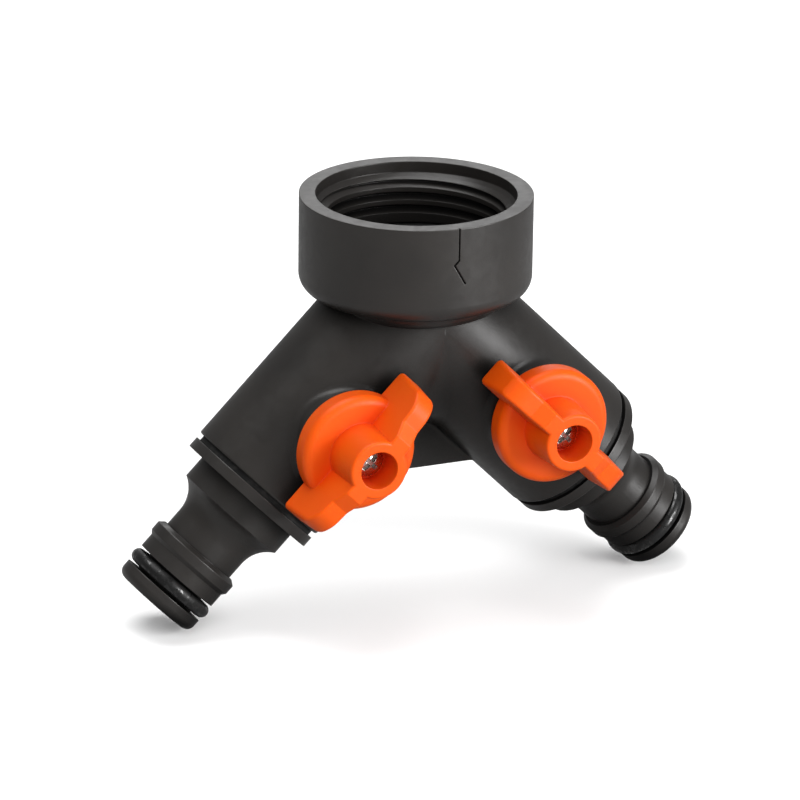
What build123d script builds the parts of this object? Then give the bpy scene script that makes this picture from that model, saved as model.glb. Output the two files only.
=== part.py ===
"""Two-way hose splitter: a threaded union nut, a two-legged body with a ball valve in each leg,
a lever handle on each valve and a quick-connect nipple on each leg."""

from build123d import *
import os
from math import radians, sqrt, tan

# Millimetres. The origin is on the inlet's axis where the crests of its thread begin, +Z runs
# out of the inlet, the legs lie in the XZ plane and the handles face -Y.

# Union nut, with a G1 pipe thread
NUT_R = 20.0
NUT_RIM = 3.3
NUT_BOTTOM = -13.7
NUT_FLOOR = -11.3  # top face of the nut's inner shoulder
NUT_HOLE_R = 12.05
MOUTH_R = 17.2
MOUTH_FLOOR = 1.4
THREAD_PITCH = 2.309
THREAD_MINOR_R = 15.15
THREAD_DEPTH = 1.4
THREAD_FLANKS = 55  # degrees between the two flanks of a groove
GROOVE_TOP = 0.9
GROOVE_BOTTOM = -5.0
THREAD_END = -7.05  # lower edge of the plain land that keeps the gasket in
GASKET_ROOM_R = 16.3
JOINT_LINE_WIDTH = 0.3
JOINT_LINE_DEPTH = 0.35
JOINT_LINE_ANGLE = -91.7  # around the nut, from +X

# Body: legs at 45 degrees from the vertical
LEG_ORIGIN = Vector(0, 0, -16.9)
LEG_R = 13.2
LEG_LENGTH = 40.6
LEG_BORE_R = 9.5
LEG_BORE_FROM = 15.3
CHANNEL_R = 5.0
BODY_TOP = -13.9
NECK_FLARE = 2.4
VALLEY_RADIUS = 5.0
SPIGOT_R = 11.8
SPIGOT_TOP = -8.95
SPIGOT_BORE_R = 8.0
WEB_THICKNESS = 3.0
WEB_BOTTOM = -46.2
WEB_BLEND = 0.8

# Retaining ring and gasket inside the nut
RING_THICKNESS = 1.0
RING_BOTTOM = -11.1
RING_INNER_R = 10.85
RING_OUTER_R = 14.2
RING_GAP_ANGLE = 30
GASKET_THICKNESS = 1.6
GASKET_INNER_R = 8.3
GASKET_OUTER_R = 16.1

# Valve, as distances from the leg's axis towards the handle
VALVE_AT = 25.3  # along the leg
BALL_R = 8.0
BALL_PORT_R = 4.5
BALL_SLOT_FLOOR = 6.0
BALL_SLOT_WIDTH = 2.4
SEAT_CLEARANCE = 0.04
SEAT_FACE = 4.7  # from the ball's centre to the near end of a seat
OUTER_SEAT_END = 33.8  # along the leg
SPINDLE_R = 3.9
SPINDLE_BORE_R = 3.95
FLANGE_R = 4.4
FLANGE_BOTTOM = 8.45
FLANGE_TOP = 9.6
POCKET_TOP = 9.7
SPINDLE_GROOVE = 11.6
SPINDLE_GROOVE_WIDTH = 1.8
SPINDLE_GROOVE_R = 2.45
BOSS_R = 8.6
BOSS_TOP = 15.3
BOSS_BLEND = 2.0
DRIVE_SIDE = 5.2
DRIVE_TOP = 20.2
STOP_PIN_R = 0.75
STOP_PIN_TOP = 16.7
STOP_CIRCLE_R = 7.7
STOP_ANGLE = 45
VALVE_TRAVEL = 90

# Handle: a disc, and a grip that stands on it and ends in a wing on each side
HANDLE_BACK = 15.9
DISC_R = 10.2
DISC_FRONT = 19.7
GRIP_BACK = 16.0
HUB_R = 5.9  # at the grip's back
HUB_FRONT = 27.8
HUB_HOLE_R = 3.3
SCREW_SEAT = 22.0
WING_WIDTH = 5.2  # at the grip's back
WING_FRONT = 26.1
WING_HALF_LENGTH = 15.1
GRIP_DRAFT = 4

# Handle screw
HEAD_R = 2.7
HEAD_TOP = 24.0
SHANK_R = 1.4
SHANK_TIP = 13.9
SCREW_HOLE_R = 1.45
SCREW_PITCH = 0.8

# Nipple, as distances along the leg
NIPPLE_BORE_R = 4.7
NIPPLE_TAIL = 33.9
NIPPLE_TAIL_R = 9.45
NIPPLE_FLANGE = 41.6
NIPPLE_FLANGE_R = 13.05
NIPPLE_NECK_R = 10.1
NIPPLE_STEM_R = 7.05
NIPPLE_LOCK_R = 8.45  # ring that a hose end locks behind
NIPPLE_COLLAR_R = 7.92
NIPPLE_GROOVE = 61.65
NIPPLE_GROOVE_END = 64.95
NIPPLE_GROOVE_R = 5.85
NIPPLE_TIP_R = 7.95
NIPPLE_TIP = 67.7
ORING_AT = 63.3
ORING_SECTION_R = 1.25
ORING_CENTRE_R = 7.1
SEAL_R = 12.3

SIDES = {"left": -1, "right": 1}


def leg_direction(sign):
    return Vector(sign, 0, -1).normalized()


def leg_axis(sign):
    return Axis(LEG_ORIGIN, leg_direction(sign))


def leg_plane(sign, distance=0):
    """Plane across a leg, at a distance along it."""
    direction = leg_direction(sign)
    return Plane(origin=LEG_ORIGIN + direction * distance, x_dir=(0, -1, 0), z_dir=direction)


def leg_profile_plane(sign):
    """Plane through a leg's axis: x is the radius and y the distance along the leg."""
    towards_front = Vector(0, -1, 0)
    return Plane(origin=LEG_ORIGIN, x_dir=towards_front, z_dir=towards_front.cross(leg_direction(sign)))


def valve_centre(sign):
    return LEG_ORIGIN + leg_direction(sign) * VALVE_AT


def valve_axis(sign):
    return Axis(valve_centre(sign), (0, -1, 0))


def valve_plane(sign, height=0):
    """Plane across a valve's spindle, at a height towards the handle, with x along the leg."""
    return Plane(origin=valve_centre(sign), x_dir=leg_direction(sign), z_dir=(0, -1, 0)).offset(height)


def valve_profile_plane(sign):
    """Plane through a spindle's axis: x runs along the leg and y towards the handle."""
    direction = leg_direction(sign)
    return Plane(origin=valve_centre(sign), x_dir=direction, z_dir=direction.cross(Vector(0, -1, 0)))


def joint_line_plane():
    """Plane that touches the outside of the nut at the joint line, with y up from the rim."""
    outward = Vector(1, 0, 0).rotate(Axis.Z, JOINT_LINE_ANGLE)
    origin = outward * NUT_R + Vector(0, 0, NUT_RIM)
    return Plane(origin=origin, x_dir=Vector(0, 0, 1).cross(outward), z_dir=outward)


def save(part, name):
    part.label = name
    export_step(part, f"parts/{name}.step")


os.makedirs("parts", exist_ok=True)

# ---------------------------------------------------------------- union nut
with BuildPart() as union_nut:
    with BuildSketch(Plane.XZ) as nut_profile:
        with BuildLine():
            Polyline(
                (NUT_HOLE_R, NUT_BOTTOM),
                (NUT_R, NUT_BOTTOM),
                (NUT_R, NUT_RIM),
                (MOUTH_R, NUT_RIM),
                (MOUTH_R, MOUTH_FLOOR),
                (THREAD_MINOR_R + THREAD_DEPTH, 0.8),
                (THREAD_MINOR_R, 0),
                (THREAD_MINOR_R, THREAD_END),
                (GASKET_ROOM_R, THREAD_END),
                (GASKET_ROOM_R, NUT_FLOOR),
                (NUT_HOLE_R, NUT_FLOOR),
                close=True,
            )
        make_face()
        outer_corners = nut_profile.vertices().group_by(Axis.X)[-1].sort_by(Axis.Y)
        fillet(outer_corners[0], radius=3.0)
        fillet(outer_corners[-1], radius=0.5)
    revolve(axis=Axis.Z)

    # Thread groove, swept along a helix, a little wider than its flanks and blunt at its root
    with BuildLine(Plane.XY.offset(GROOVE_BOTTOM)) as thread_path:
        Helix(pitch=THREAD_PITCH, height=GROOVE_TOP - GROOVE_BOTTOM, radius=THREAD_MINOR_R)
    with BuildSketch(Plane(origin=thread_path.line @ 0, x_dir=(1, 0, 0), z_dir=(0, -1, 0))):
        half_width = THREAD_DEPTH * tan(radians(THREAD_FLANKS / 2))
        with BuildLine():
            Polyline(
                (-0.3, -half_width - 0.15),
                (THREAD_DEPTH, -0.12),
                (THREAD_DEPTH, 0.12),
                (-0.3, half_width + 0.15),
                close=True,
            )
        make_face()
    sweep(path=thread_path.line, is_frenet=True, mode=Mode.SUBTRACT)

    # Fine joint line on the front: down from the rim, a short step back, then off to the side
    with BuildSketch(joint_line_plane()):
        with BuildLine() as joint_line:
            Polyline((0, 1), (0, -5.6), (-0.8, -6.4), (1.2, -9.9))
        trace(line_width=JOINT_LINE_WIDTH)
    extrude(amount=-JOINT_LINE_DEPTH, mode=Mode.SUBTRACT)

save(union_nut.part, "union_nut")

# ---------------------------------------------------------------- parts inside the nut
with BuildPart() as retaining_ring:
    with BuildSketch(Plane.XY.offset(RING_BOTTOM)):
        Circle(RING_OUTER_R)
        Circle(RING_INNER_R, mode=Mode.SUBTRACT)
        with BuildLine():
            gap = 20 * tan(radians(RING_GAP_ANGLE / 2))
            Polyline((0, 0), (20, gap), (20, -gap), close=True)
        make_face(mode=Mode.SUBTRACT)
    extrude(amount=RING_THICKNESS)

save(retaining_ring.part, "retaining_ring")

with BuildPart() as inlet_gasket:
    with BuildSketch(Plane.XY.offset(SPIGOT_TOP)):
        Circle(GASKET_OUTER_R)
        Circle(GASKET_INNER_R, mode=Mode.SUBTRACT)
    extrude(amount=GASKET_THICKNESS)
    fillet(inlet_gasket.edges(), radius=0.3)

save(inlet_gasket.part, "inlet_gasket")

# ---------------------------------------------------------------- body
with BuildPart() as body:
    for sign in SIDES.values():
        with BuildSketch(leg_plane(sign)):
            Circle(LEG_R)
        extrude(amount=LEG_LENGTH)
    # Nothing of the legs stands above the shoulder that the nut turns on
    split(bisect_by=Plane.XY.offset(BODY_TOP), keep=Keep.BOTTOM)

    # Neck as wide as the legs, flared at its top to carry the nut, and the spigot above it
    with BuildSketch(Plane.XZ):
        with BuildLine():
            Polyline(
                (LEG_R, BODY_TOP - NECK_FLARE),
                (LEG_R, LEG_ORIGIN.Z),
                (0, LEG_ORIGIN.Z),
                (0, SPIGOT_TOP),
                (SPIGOT_R, SPIGOT_TOP),
                (SPIGOT_R, BODY_TOP),
                (LEG_R + NECK_FLARE, BODY_TOP),
            )
            RadiusArc((LEG_R + NECK_FLARE, BODY_TOP), (LEG_R, BODY_TOP - NECK_FLARE), NECK_FLARE)
        make_face()
    revolve(axis=Axis.Z)

    # The legs meet in a soft valley, in front, below and behind
    valley = body.edges().filter_by_position(Axis.X, -0.1, 0.1).sort_by(Axis.Z)[0]
    fillet(valley, radius=VALLEY_RADIUS)

    # Web between the legs
    with BuildSketch(Plane.XZ):
        web_top = LEG_ORIGIN.Z - LEG_R * sqrt(2) + 3
        web_half = web_top - WEB_BOTTOM
        with BuildLine():
            Polyline((0, web_top), (web_half, WEB_BOTTOM), (-web_half, WEB_BOTTOM), close=True)
        make_face()
    extrude(amount=WEB_THICKNESS / 2, both=True)
    web_seams = body.edges(Select.NEW).filter_by_position(Axis.Z, WEB_BOTTOM + 1, web_top)
    fillet(web_seams, radius=WEB_BLEND)

    # Outer corner of each leg's end
    leg_ends = body.edges().filter_by(GeomType.CIRCLE).group_by(Axis.Z)[0]
    fillet(leg_ends, radius=0.4)

    # Bosses and stop pins
    for sign in SIDES.values():
        with BuildSketch(valve_plane(sign)):
            Circle(BOSS_R)
        extrude(amount=BOSS_TOP)
        fillet(body.edges(Select.NEW).filter_by(GeomType.BSPLINE), radius=BOSS_BLEND)
        with BuildSketch(valve_plane(sign, BOSS_TOP)):
            with PolarLocations(STOP_CIRCLE_R, 1, start_angle=STOP_ANGLE):
                Circle(STOP_PIN_R)
        extrude(amount=STOP_PIN_TOP - BOSS_TOP)

    # Waterways
    with BuildSketch(Plane.XY.offset(SPIGOT_TOP)):
        Circle(SPIGOT_BORE_R)
    extrude(amount=-(SPIGOT_TOP - LEG_ORIGIN.Z), mode=Mode.SUBTRACT)
    with Locations(LEG_ORIGIN):
        Sphere(SPIGOT_BORE_R, mode=Mode.SUBTRACT)
    for sign in SIDES.values():
        with BuildSketch(leg_plane(sign)):
            Circle(CHANNEL_R)
        extrude(amount=LEG_LENGTH, mode=Mode.SUBTRACT)
        with BuildSketch(leg_plane(sign, LEG_BORE_FROM)):
            Circle(LEG_BORE_R)
        extrude(amount=LEG_LENGTH, mode=Mode.SUBTRACT)
        # Pocket for the spindle's flange and the bore through the boss
        with BuildSketch(valve_plane(sign)):
            Circle(FLANGE_R + 0.2)
        extrude(amount=POCKET_TOP, mode=Mode.SUBTRACT)
        with BuildSketch(valve_plane(sign)):
            Circle(SPINDLE_BORE_R)
        extrude(amount=BOSS_TOP + 1, mode=Mode.SUBTRACT)

    # Groove for the retaining ring
    with BuildSketch(Plane.XY.offset(RING_BOTTOM - 0.05)):
        Circle(SPIGOT_R + 1)
        Circle(RING_INNER_R - 0.05, mode=Mode.SUBTRACT)
    extrude(amount=RING_THICKNESS + 0.1, mode=Mode.SUBTRACT)

save(body.part, "body")

# ---------------------------------------------------------------- pieces of each leg
for side, sign in SIDES.items():
    with BuildPart(valve_plane(sign)) as ball:
        Sphere(BALL_R)
        Cylinder(BALL_PORT_R, 3 * BALL_R, rotation=(0, 90, 0), mode=Mode.SUBTRACT)
        with BuildSketch(valve_plane(sign, BALL_SLOT_FLOOR)):
            Rectangle(BALL_SLOT_WIDTH, 3 * BALL_R)
        extrude(amount=BALL_R, mode=Mode.SUBTRACT)

    save(ball.part, f"ball_{side}")

    seats = {"inner": (LEG_BORE_FROM, VALVE_AT - SEAT_FACE), "outer": (VALVE_AT + SEAT_FACE, OUTER_SEAT_END)}
    for end, (seat_from, seat_to) in seats.items():
        with BuildPart() as ball_seat:
            with BuildSketch(leg_plane(sign, seat_from)):
                Circle(LEG_BORE_R - 0.05)
                Circle(CHANNEL_R, mode=Mode.SUBTRACT)
            extrude(amount=seat_to - seat_from)
            with Locations(valve_centre(sign)):
                Sphere(BALL_R + SEAT_CLEARANCE, mode=Mode.SUBTRACT)

        save(ball_seat.part, f"ball_seat_{end}_{side}")

    with BuildPart() as spindle:
        with BuildSketch(valve_profile_plane(sign)):
            groove_top = SPINDLE_GROOVE + SPINDLE_GROOVE_WIDTH
            with BuildLine():
                Polyline(
                    (0, FLANGE_BOTTOM),
                    (FLANGE_R, FLANGE_BOTTOM),
                    (FLANGE_R, FLANGE_TOP),
                    (SPINDLE_R, FLANGE_TOP),
                    (SPINDLE_R, SPINDLE_GROOVE),
                    (SPINDLE_GROOVE_R, SPINDLE_GROOVE),
                    (SPINDLE_GROOVE_R, groove_top),
                    (SPINDLE_R, groove_top),
                    (SPINDLE_R, BOSS_TOP),
                    (0, BOSS_TOP),
                    close=True,
                )
            make_face()
        revolve(axis=valve_axis(sign))
        # Tongue in the ball's slot, and the square that drives it from the handle
        with BuildSketch(valve_plane(sign, FLANGE_BOTTOM)):
            Rectangle(BALL_SLOT_WIDTH - 0.1, 7.2)
        extrude(amount=-(FLANGE_BOTTOM - BALL_SLOT_FLOOR - 0.2))
        with BuildSketch(valve_plane(sign, BOSS_TOP)):
            Rectangle(DRIVE_SIDE, DRIVE_SIDE)
        extrude(amount=DRIVE_TOP - BOSS_TOP)
        with Locations(valve_plane(sign, DRIVE_TOP)):
            Hole(radius=SCREW_HOLE_R, depth=DRIVE_TOP - SHANK_TIP + 0.6)

    save(spindle.part, f"spindle_{side}")

    with BuildPart() as spindle_oring:
        with BuildSketch(valve_profile_plane(sign)):
            section_r = (SPINDLE_R - SPINDLE_GROOVE_R) / 2
            with Locations((SPINDLE_GROOVE_R + section_r, SPINDLE_GROOVE + SPINDLE_GROOVE_WIDTH / 2)):
                Circle(section_r)
        revolve(axis=valve_axis(sign))

    save(spindle_oring.part, f"spindle_oring_{side}")

    with BuildPart() as handle:
        # Grip: the round hub and its two wings in plan, drafted towards the front
        with BuildSketch(valve_plane(sign, GRIP_BACK)) as grip_plan:
            Circle(HUB_R)
            Rectangle(2 * WING_HALF_LENGTH, WING_WIDTH)
            along = Axis(valve_centre(sign), leg_direction(sign))
            waists = grip_plan.vertices().filter_by_position(along, -HUB_R, HUB_R)
            fillet(waists, radius=6)
        extrude(amount=HUB_FRONT - GRIP_BACK)
        walls = handle.faces().filter_by(valve_axis(sign), reverse=True)
        draft(walls, valve_plane(sign, GRIP_BACK), angle=GRIP_DRAFT)

        # Each wing swells softly down from the hub and rounds off to a blunt nose
        with BuildSketch(valve_profile_plane(sign)) as grip_profile:
            with BuildLine():
                Polyline(
                    (0, GRIP_BACK),
                    (WING_HALF_LENGTH, GRIP_BACK),
                    (WING_HALF_LENGTH - 0.5, WING_FRONT - 0.7),
                    (9.0, WING_FRONT),
                    (6.4, HUB_FRONT),
                    (0, HUB_FRONT),
                )
                mirror(about=Plane.YZ)
            make_face()
            corners = grip_profile.vertices()
            fillet(corners.filter_by_position(Axis.Y, WING_FRONT - 0.8, WING_FRONT - 0.6), radius=4.5)
            fillet(corners.filter_by_position(Axis.Y, WING_FRONT - 0.1, WING_FRONT + 0.1), radius=3.5)
            shoulders = corners.group_by(Axis.Y)[-1].sort_by(Axis.X)
            fillet([shoulders[0], shoulders[-1]], radius=2)
        extrude(amount=2 * HUB_R, both=True, mode=Mode.INTERSECT)

        # Soft upright corners at the wings' ends, then a soft rim all round the front
        ends = handle.edges().filter_by(Axis((0, 0, 0), valve_plane(sign).y_dir), reverse=True)
        fillet(ends.filter_by_position(along, 14, 16) + ends.filter_by_position(along, -16, -14), radius=0.9)
        front = handle.faces().filter_by(lambda face: face.normal_at().Y < -0.2)
        walls = handle.faces() - front
        fillet(front.edges() & walls.edges(), radius=0.5)

        # Disc
        with BuildSketch(valve_profile_plane(sign)) as disc_profile:
            with BuildLine():
                Polyline(
                    (0, HANDLE_BACK),
                    (DISC_R, HANDLE_BACK),
                    (DISC_R, DISC_FRONT),
                    (0, DISC_FRONT),
                    close=True,
                )
            make_face()
            rims = disc_profile.vertices().group_by(Axis.X)[-1].sort_by(Axis.Y)
            fillet(rims[-1], radius=1.5)
            fillet(rims[0], radius=0.4)
        revolve(axis=valve_axis(sign))

        # Hole for the screw, square socket for the spindle and arc slot for the stop pin
        with Locations(valve_plane(sign, HUB_FRONT)):
            CounterBoreHole(
                radius=SHANK_R + 0.3,
                counter_bore_radius=HUB_HOLE_R,
                counter_bore_depth=HUB_FRONT - SCREW_SEAT,
                depth=HUB_FRONT - HANDLE_BACK,
            )
        with BuildSketch(valve_plane(sign, HANDLE_BACK)):
            Rectangle(DRIVE_SIDE + 0.1, DRIVE_SIDE + 0.1)
        extrude(amount=DRIVE_TOP + 0.1 - HANDLE_BACK, mode=Mode.SUBTRACT)
        with BuildSketch(valve_plane(sign, HANDLE_BACK)):
            with BuildLine() as slot_path:
                CenterArc((0, 0), STOP_CIRCLE_R, STOP_ANGLE, VALVE_TRAVEL)
            SlotArc(slot_path.line.edge(), height=2 * STOP_PIN_R + 0.2)
        extrude(amount=STOP_PIN_TOP + 0.3 - HANDLE_BACK, mode=Mode.SUBTRACT)

    save(handle.part, f"handle_{side}")

    with BuildPart() as handle_screw:
        with BuildSketch(valve_profile_plane(sign)) as screw_profile:
            with BuildLine():
                Polyline(
                    (0, SHANK_TIP),
                    (SHANK_R - 0.5, SHANK_TIP),
                    (SHANK_R, SHANK_TIP + 0.8),
                    (SHANK_R, SCREW_SEAT),
                    (HEAD_R, SCREW_SEAT),
                    (HEAD_R, SCREW_SEAT + 0.8),
                )
                ThreePointArc((HEAD_R, SCREW_SEAT + 0.8), (HEAD_R * 0.6, HEAD_TOP - 0.4), (0, HEAD_TOP))
                Line((0, HEAD_TOP), (0, SHANK_TIP))
            make_face()
        revolve(axis=valve_axis(sign))
        # Thread, as a row of shallow rings
        with BuildSketch(valve_profile_plane(sign)):
            turns = int((DRIVE_TOP - SHANK_TIP) / SCREW_PITCH)
            first = SHANK_TIP + 1.4
            with Locations(*[(SHANK_R, first + turn * SCREW_PITCH) for turn in range(turns)]):
                RegularPolygon(radius=0.3, side_count=3, rotation=180)
        revolve(axis=valve_axis(sign), mode=Mode.SUBTRACT)
        # Cross recess
        with BuildSketch(valve_plane(sign, HEAD_TOP)):
            Rectangle(3.4, 0.8)
            Rectangle(0.8, 3.4)
        extrude(amount=-1.3, taper=6, mode=Mode.SUBTRACT)

    save(handle_screw.part, f"handle_screw_{side}")

    with BuildPart() as nipple:
        with BuildSketch(leg_profile_plane(sign)) as nipple_profile:
            with BuildLine():
                Polyline(
                    (NIPPLE_BORE_R, NIPPLE_TAIL),
                    (NIPPLE_TAIL_R, NIPPLE_TAIL),
                    (NIPPLE_TAIL_R, NIPPLE_FLANGE),
                    (NIPPLE_FLANGE_R, NIPPLE_FLANGE),
                    (NIPPLE_FLANGE_R, 43.5),
                    (NIPPLE_NECK_R, 43.5),
                    (NIPPLE_NECK_R, 47.65),
                )
                ThreePointArc((NIPPLE_NECK_R, 47.65), (7.8, 49.9), (NIPPLE_STEM_R, 53.0))
                Polyline(
                    (NIPPLE_STEM_R, 53.0),
                    (NIPPLE_STEM_R, 56.0),
                    (7.6, 56.0),
                    (NIPPLE_LOCK_R, 56.7),
                    (NIPPLE_LOCK_R, 58.4),
                    (NIPPLE_COLLAR_R, 59.1),
                    (NIPPLE_COLLAR_R, NIPPLE_GROOVE),
                    (NIPPLE_GROOVE_R, NIPPLE_GROOVE),
                    (NIPPLE_GROOVE_R, NIPPLE_GROOVE_END),
                    (NIPPLE_TIP_R, NIPPLE_GROOVE_END),
                    (NIPPLE_TIP_R, NIPPLE_TIP),
                    (NIPPLE_BORE_R, NIPPLE_TIP),
                    (NIPPLE_BORE_R, NIPPLE_TAIL),
                )
            make_face()
            corners = nipple_profile.vertices()
            tips = corners.group_by(Axis.Y)[-1].sort_by(Axis.X)
            fillet(tips[-1], radius=1.5)
            fillet(tips[0], radius=0.4)
            fillet(corners.filter_by_position(Axis.X, 13, 13.1), radius=0.3)
            neck = corners.filter_by_position(Axis.X, 10, 10.2).sort_by(Axis.Y)[0]
            fillet(neck, radius=0.9)
        revolve(axis=leg_axis(sign))

    save(nipple.part, f"nipple_{side}")

    with BuildPart() as nipple_oring:
        with BuildSketch(leg_profile_plane(sign)):
            with Locations((ORING_CENTRE_R, ORING_AT)):
                Circle(ORING_SECTION_R)
        revolve(axis=leg_axis(sign))

    save(nipple_oring.part, f"nipple_oring_{side}")

    with BuildPart() as nipple_seal:
        with BuildSketch(leg_plane(sign, LEG_LENGTH)):
            Circle(SEAL_R)
            Circle(LEG_BORE_R + 0.1, mode=Mode.SUBTRACT)
        extrude(amount=NIPPLE_FLANGE - LEG_LENGTH)

    save(nipple_seal.part, f"nipple_seal_{side}")
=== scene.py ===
"""Looks, light and camera of the two-way hose splitter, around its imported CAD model."""

import math

import bpy
from mathutils import Matrix, Vector


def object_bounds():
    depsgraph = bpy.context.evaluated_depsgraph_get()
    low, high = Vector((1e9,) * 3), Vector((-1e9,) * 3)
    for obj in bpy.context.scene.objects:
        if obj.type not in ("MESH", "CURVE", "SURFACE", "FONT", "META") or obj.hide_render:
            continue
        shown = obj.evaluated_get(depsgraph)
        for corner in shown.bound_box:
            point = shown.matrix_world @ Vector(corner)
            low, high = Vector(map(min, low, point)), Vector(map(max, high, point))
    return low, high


# Sizes and places are in metres, in the frame of the CAD model
MM = 0.001

# Camera: where it stands around the splitter, and how far it is panned off the target
CAMERA_AZIMUTH = math.radians(-23.14)
CAMERA_ELEVATION = math.radians(20.55)
CAMERA_ROLL = math.radians(0.82)
CAMERA_TARGET = Vector((0, 0, -26.7 * MM))
CAMERA_DISTANCE = 1.0
CAMERA_PAN = (-2.39 * MM, -7.07 * MM)
CAMERA_LENS = 262.0
CAMERA_CLIP_START = 10 * MM

# Linear colours
CHARCOAL = (0.016, 0.014, 0.0125, 1)
CHARCOAL_DARK = (0.011, 0.0098, 0.009, 1)
CHARCOAL_WORN = (0.075, 0.07, 0.065, 1)
# painted shade: the near-black that the charcoal's hollows are darkened to
CHARCOAL_PAINTED_SHADE = (0.004, 0.004, 0.004, 1)
ORANGE = (0.57, 0.067, 0.001, 1)
# deeper red, used both as a random tone and as painted shade in the handles' hollows
ORANGE_DEEP_TONE_AND_SHADE = (0.6, 0.028, 0.002, 1)
RUBBER = (0.005, 0.005, 0.005, 1)
RUBBER_DUSTY = (0.03, 0.029, 0.028, 1)
WHITE_PLASTIC = (0.78, 0.77, 0.73, 1)
FLOOR_PALE = (0.93, 0.93, 0.93, 1)
FLOOR_BOUNCE = (0.3, 0.3, 0.3, 1)
STEEL = (0.66, 0.64, 0.61, 1)
BRASS = (0.75, 0.55, 0.25, 1)
CHROME = (0.8, 0.8, 0.8, 1)
WHITE_PLASTIC_DULL = (0.68, 0.67, 0.63, 1)
STEEL_STAINED = (0.42, 0.41, 0.4, 1)
BRASS_STAINED = (0.5, 0.33, 0.12, 1)
CHROME_STAINED = (0.6, 0.6, 0.6, 1)
AIR = (1, 1, 1, 1)

# Studio
AIR_STRENGTH = 0.24
FLOOR_SIZE = 12
FLOOR_GAP = 0.5 * MM
SOFTBOXES = {  # place, size, power in watts
    "key": ((0.55, -0.75, 0.2), (0.5, 0.5), 13),
    "top": ((-0.1, 0.1, 0.9), (0.7, 0.7), 8),
    "back": ((0.4, 0.95, 0.42), (0.6, 0.4), 1.5),
    "fill": ((-0.45, -0.9, 0.5), (0.9, 0.9), 12),
}

# Sockets of the Mix node when it mixes colours
MIX_FACTOR = 0
MIX_FIRST = 6
MIX_SECOND = 7
MIX_RESULT = 2

TRACED_SAMPLES = 8  # rays of the bevel and ambient occlusion nodes


class Shader:
    """A Principled material with short calls for the texture nodes that feed it."""

    def __init__(self, name):
        self.material = bpy.data.materials.new(name)
        self.material.use_nodes = True
        self.tree = self.material.node_tree
        self.surface = self.tree.nodes["Principled BSDF"]
        self.place = self.tree.nodes.new("ShaderNodeTexCoord").outputs["Object"]

    def node(self, kind, inputs=None, **settings):
        """Adds a node; an input is a value, or the output of another node."""
        node = self.tree.nodes.new(kind)
        for key, value in settings.items():
            setattr(node, key, value)
        for key, value in (inputs or {}).items():
            self.feed(node.inputs[key], value)
        return node

    def feed(self, socket, value):
        """Links an input to another node's output, or sets its value."""
        if isinstance(value, bpy.types.NodeSocket):
            self.tree.links.new(value, socket)
        else:
            socket.default_value = value

    def set(self, **values):
        """Sets inputs of the surface: base_color=... is its Base Color input."""
        names = {i.name.lower().replace(" ", "_"): i for i in self.surface.inputs}
        for key, value in values.items():
            self.feed(names[key], value)

    def noise(self, size_mm, detail=3.0, roughness=0.55, distortion=0.0):
        """Noise whose blobs are about size_mm across."""
        inputs = {
            "Vector": self.place,
            "Scale": 1 / (size_mm * MM),
            "Detail": detail,
            "Roughness": roughness,
            "Distortion": distortion,
        }
        return self.node("ShaderNodeTexNoise", inputs).outputs["Fac"]

    def ramp(self, value, low, high, out_low, out_high):
        """Maps value from low..high to out_low..out_high, clamped."""
        inputs = {
            "Value": value,
            "From Min": low,
            "From Max": high,
            "To Min": out_low,
            "To Max": out_high,
        }
        return self.node("ShaderNodeMapRange", inputs).outputs["Result"]

    def mix(self, factor, first, second):
        """Mixes two colours: factor 0 gives the first, 1 the second."""
        node = self.node("ShaderNodeMix", data_type="RGBA")
        self.feed(node.inputs[MIX_FACTOR], factor)
        self.feed(node.inputs[MIX_FIRST], first)
        self.feed(node.inputs[MIX_SECOND], second)
        return node.outputs[MIX_RESULT]

    def math(self, operation, first, second):
        node = self.node("ShaderNodeMath", operation=operation)
        self.feed(node.inputs[0], first)
        self.feed(node.inputs[1], second)
        return node.outputs[0]

    def rounded(self, radius_mm):
        """The normal, turned smoothly over edges within radius_mm of them."""
        inputs = {"Radius": radius_mm * MM}
        return self.node("ShaderNodeBevel", inputs, samples=TRACED_SAMPLES).outputs["Normal"]

    def edge(self, rounded):
        """About 1 on edges, where the rounded normal leaves the true one, and 0 on open faces."""
        facing = self.node("ShaderNodeNewGeometry").outputs["Normal"]
        dot = self.node("ShaderNodeVectorMath", {0: rounded, 1: facing}, operation="DOT_PRODUCT")
        return self.ramp(dot.outputs["Value"], 1.0, 0.75, 0.0, 1.0)

    def painted_shade(self, reach_mm):
        """The mask of painted shade: about 1 where the surface is closed in by others within reach_mm,
        and 0 in the open.
        """
        inputs = {"Distance": reach_mm * MM}
        occlusion = self.node("ShaderNodeAmbientOcclusion", inputs, samples=TRACED_SAMPLES)
        return self.ramp(occlusion.outputs["AO"], 0.25, 0.9, 1.0, 0.0)

    def bump(self, height, depth_mm, strength=1.0, normal=None):
        """Bumps the surface by height, on top of normal where one is given."""
        inputs = {"Height": height, "Distance": depth_mm * MM, "Strength": strength}
        if normal is not None:
            inputs["Normal"] = normal
        self.set(normal=self.node("ShaderNodeBump", inputs).outputs["Normal"])


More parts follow.
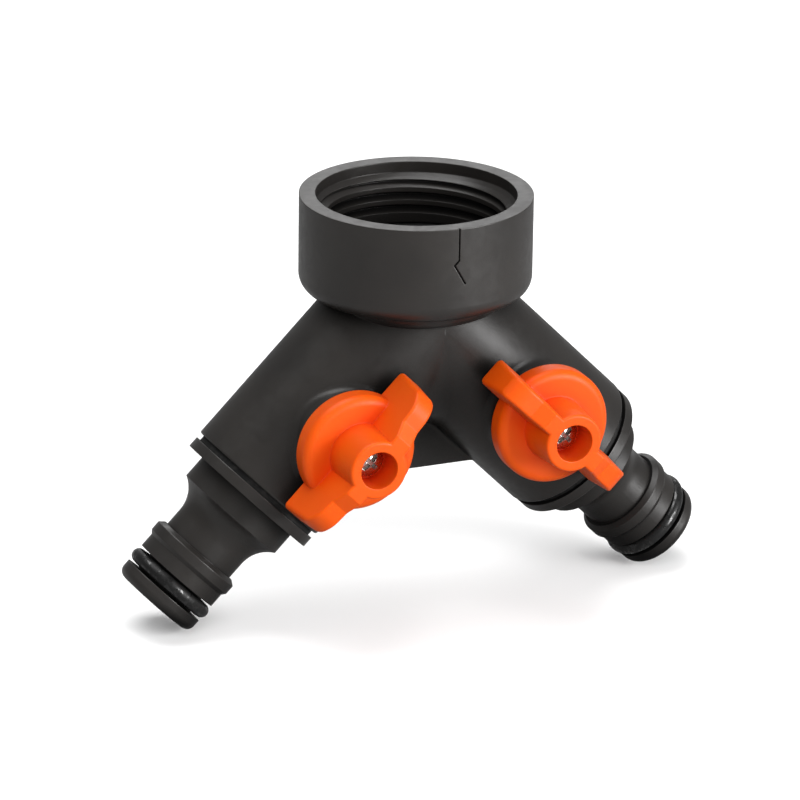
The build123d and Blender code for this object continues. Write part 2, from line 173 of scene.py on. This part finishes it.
def charcoal_plastic():
    """Dark glass-filled plastic: satin, with a fine moulded grain, rubbed edges, and painted shade that
    darkens its hollows and dims their reflections.
    """
    s = Shader("charcoal_plastic")
    clouds = s.noise(14, detail=2)
    flow = s.noise(3.0, detail=4, distortion=1.2)
    rounded = s.rounded(0.25)
    base = s.mix(s.ramp(clouds, 0.3, 0.7, 0, 1), CHARCOAL, CHARCOAL_DARK)
    rubbed = s.math("MULTIPLY", s.edge(rounded), s.ramp(s.noise(1.5), 0.35, 0.65, 0.1, 0.55))
    # painted shade: an occlusion mask darkens the colour of the hollows and dims their reflections
    painted_shade = s.painted_shade(reach_mm=22)
    s.set(base_color=s.mix(painted_shade, s.mix(rubbed, base, CHARCOAL_WORN), CHARCOAL_PAINTED_SHADE))
    s.set(roughness=s.ramp(flow, 0.3, 0.7, 0.32, 0.42))
    s.set(specular_ior_level=s.ramp(painted_shade, 0, 0.8, 0.5, 0.03))
    grain = s.noise(0.16, detail=2)
    s.bump(grain, 0.012, 0.5, rounded)
    return s.material


def orange_plastic():
    """Orange handle plastic: slightly see-through, with a random deeper-red tone and painted shade that
    deepens it to red in its hollows.
    """
    s = Shader("orange_plastic")
    clouds = s.noise(9, detail=2)
    # painted shade: the occlusion mask deepens the orange towards red in the hollows
    base = s.mix(s.painted_shade(reach_mm=5), ORANGE, ORANGE_DEEP_TONE_AND_SHADE)
    base = s.mix(s.ramp(clouds, 0.3, 0.7, 0, 0.12), base, ORANGE_DEEP_TONE_AND_SHADE)
    s.set(base_color=base)
    s.set(subsurface_weight=0.15, subsurface_radius=(1.0, 0.2, 0.03), subsurface_scale=1.5 * MM)
    s.set(roughness=s.ramp(s.noise(2.5, detail=4), 0.3, 0.7, 0.4, 0.5), specular_ior_level=0.22)
    s.bump(s.noise(0.18, detail=2), 0.01, 0.45, s.rounded(0.3))
    return s.material


def greased_rubber():
    """Black O-ring rubber with a smear of grease that catches the light unevenly."""
    s = Shader("greased_rubber")
    grease = s.noise(1.3, detail=3, distortion=0.8)
    s.set(base_color=RUBBER)
    s.set(roughness=s.ramp(grease, 0.38, 0.55, 0.2, 0.5), specular_ior_level=0.3)
    s.set(coat_weight=s.ramp(grease, 0.36, 0.5, 0.6, 0.0), coat_roughness=0.1)
    s.bump(s.noise(0.8, detail=2), 0.06, 0.6)
    return s.material


def matte_rubber():
    """Dry black rubber of the flat seals, faintly dusty."""
    s = Shader("matte_rubber")
    dust = s.noise(0.9, detail=4)
    s.set(base_color=s.mix(s.ramp(dust, 0.45, 0.75, 0, 0.6), RUBBER, RUBBER_DUSTY))
    s.set(roughness=s.ramp(dust, 0.3, 0.7, 0.6, 0.8), specular_ior_level=0.3)
    s.bump(s.noise(0.25, detail=2), 0.015, 0.5)
    return s.material


def white_plastic():
    """White slippery plastic of the seats and the retaining ring."""
    s = Shader("white_plastic")
    turned = s.noise(0.4, detail=2)
    s.set(base_color=s.mix(s.ramp(s.noise(5), 0.3, 0.7, 0, 1), WHITE_PLASTIC, WHITE_PLASTIC_DULL))
    s.set(roughness=s.ramp(turned, 0.3, 0.7, 0.3, 0.42))
    s.bump(turned, 0.01, 0.4)
    return s.material


def metal(name, colour, stained, roughness):
    """Bright metal with fine tooling marks and faint handling stains."""
    s = Shader(name)
    stain = s.noise(2.2, detail=4)
    s.set(base_color=s.mix(s.ramp(stain, 0.35, 0.7, 0, 0.5), colour, stained), metallic=1.0)
    s.set(roughness=s.ramp(s.noise(0.35, detail=4), 0.3, 0.7, roughness * 0.75, roughness * 1.3))
    s.bump(s.noise(0.12, detail=3), 0.008, 0.5, s.rounded(0.15))
    return s.material


def dress_nodes(nodes):
    """Gives every CAD node its material."""
    charcoal = charcoal_plastic()
    orange = orange_plastic()
    greased = greased_rubber()
    rubber = matte_rubber()
    white = white_plastic()
    steel = metal("screw_steel", STEEL, STEEL_STAINED, 0.26)
    brass = metal("turned_brass", BRASS, BRASS_STAINED, 0.3)
    chrome = metal("ball_chrome", CHROME, CHROME_STAINED, 0.1)
    by_stem = {
        "body": charcoal,
        "union_nut": charcoal,
        "nipple": charcoal,
        "retaining_ring": white,
        "ball_seat_inner": white,
        "ball_seat_outer": white,
        "inlet_gasket": rubber,
        "nipple_oring": greased,
        "nipple_seal": rubber,
        "spindle_oring": greased,
        "handle": orange,
        "handle_screw": steel,
        "spindle": brass,
        "ball": chrome,
    }
    for name, node in nodes.items():
        stem = name.removesuffix("_left").removesuffix("_right")
        for material_slot in node.material_slots:
            material_slot.material = by_stem[stem]


def add_floor(height):
    """A wide pale floor, a hair below the splitter, that throws little light back up at it."""
    bpy.ops.mesh.primitive_plane_add(size=FLOOR_SIZE, location=(0, 0, height))
    floor = bpy.context.object
    floor.name = "floor"
    s = Shader("pale_floor")
    seen = s.node("ShaderNodeLightPath").outputs["Is Camera Ray"]
    s.set(base_color=s.mix(seen, FLOOR_BOUNCE, FLOOR_PALE), roughness=0.9, specular_ior_level=0.0)
    floor.data.materials.append(s.material)


def add_softbox(name, place, size, power):
    """A rectangular area light aimed at the splitter."""
    light = bpy.data.lights.new(name, "AREA")
    light.shape = "RECTANGLE"
    light.size, light.size_y = size
    light.energy = power
    lamp = bpy.data.objects.new(name, light)
    bpy.context.scene.collection.objects.link(lamp)
    lamp.location = place
    lamp.rotation_euler = (CAMERA_TARGET - Vector(place)).to_track_quat("-Z", "Y").to_euler()
    return lamp


def add_light():
    """Grey studio air, three softboxes, and a fill from the camera's side that leaves no highlights."""
    world = bpy.data.worlds.new("studio")
    world.use_nodes = True
    world.node_tree.nodes["Background"].inputs["Color"].default_value = AIR
    world.node_tree.nodes["Background"].inputs["Strength"].default_value = AIR_STRENGTH
    bpy.context.scene.world = world
    lamps = {name: add_softbox(name, *values) for name, values in SOFTBOXES.items()}
    lamps["fill"].visible_glossy = False


def add_camera():
    """Places the camera around its target, rolls it and pans it."""
    azimuth, elevation = CAMERA_AZIMUTH, CAMERA_ELEVATION
    back = Vector(
        (
            math.sin(azimuth) * math.cos(elevation),
            -math.cos(azimuth) * math.cos(elevation),
            math.sin(elevation),
        )
    )
    level_right = Vector((math.cos(azimuth), math.sin(azimuth), 0))
    level_up = back.cross(level_right)
    right = math.cos(CAMERA_ROLL) * level_right + math.sin(CAMERA_ROLL) * level_up
    up = back.cross(right)
    camera = bpy.data.objects.new("camera", bpy.data.cameras.new("camera"))
    bpy.context.scene.collection.objects.link(camera)
    camera.data.lens = CAMERA_LENS
    camera.data.clip_start = CAMERA_CLIP_START
    place = CAMERA_TARGET + CAMERA_PAN[0] * right + CAMERA_PAN[1] * up + CAMERA_DISTANCE * back
    axes = Matrix((right, up, back)).transposed()
    camera.matrix_world = Matrix.Translation(place) @ axes.to_4x4()
    bpy.context.scene.camera = camera


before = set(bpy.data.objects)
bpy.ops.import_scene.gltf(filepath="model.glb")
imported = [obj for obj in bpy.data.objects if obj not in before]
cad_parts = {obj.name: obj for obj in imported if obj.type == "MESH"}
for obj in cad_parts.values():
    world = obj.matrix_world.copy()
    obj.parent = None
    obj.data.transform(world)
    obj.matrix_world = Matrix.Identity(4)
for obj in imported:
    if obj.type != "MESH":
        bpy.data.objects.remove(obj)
cad_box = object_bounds()
dress_nodes(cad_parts)
add_floor(cad_box[0][2] - FLOOR_GAP)
add_light()
add_camera()
bpy.context.scene.view_settings.view_transform = "Standard"
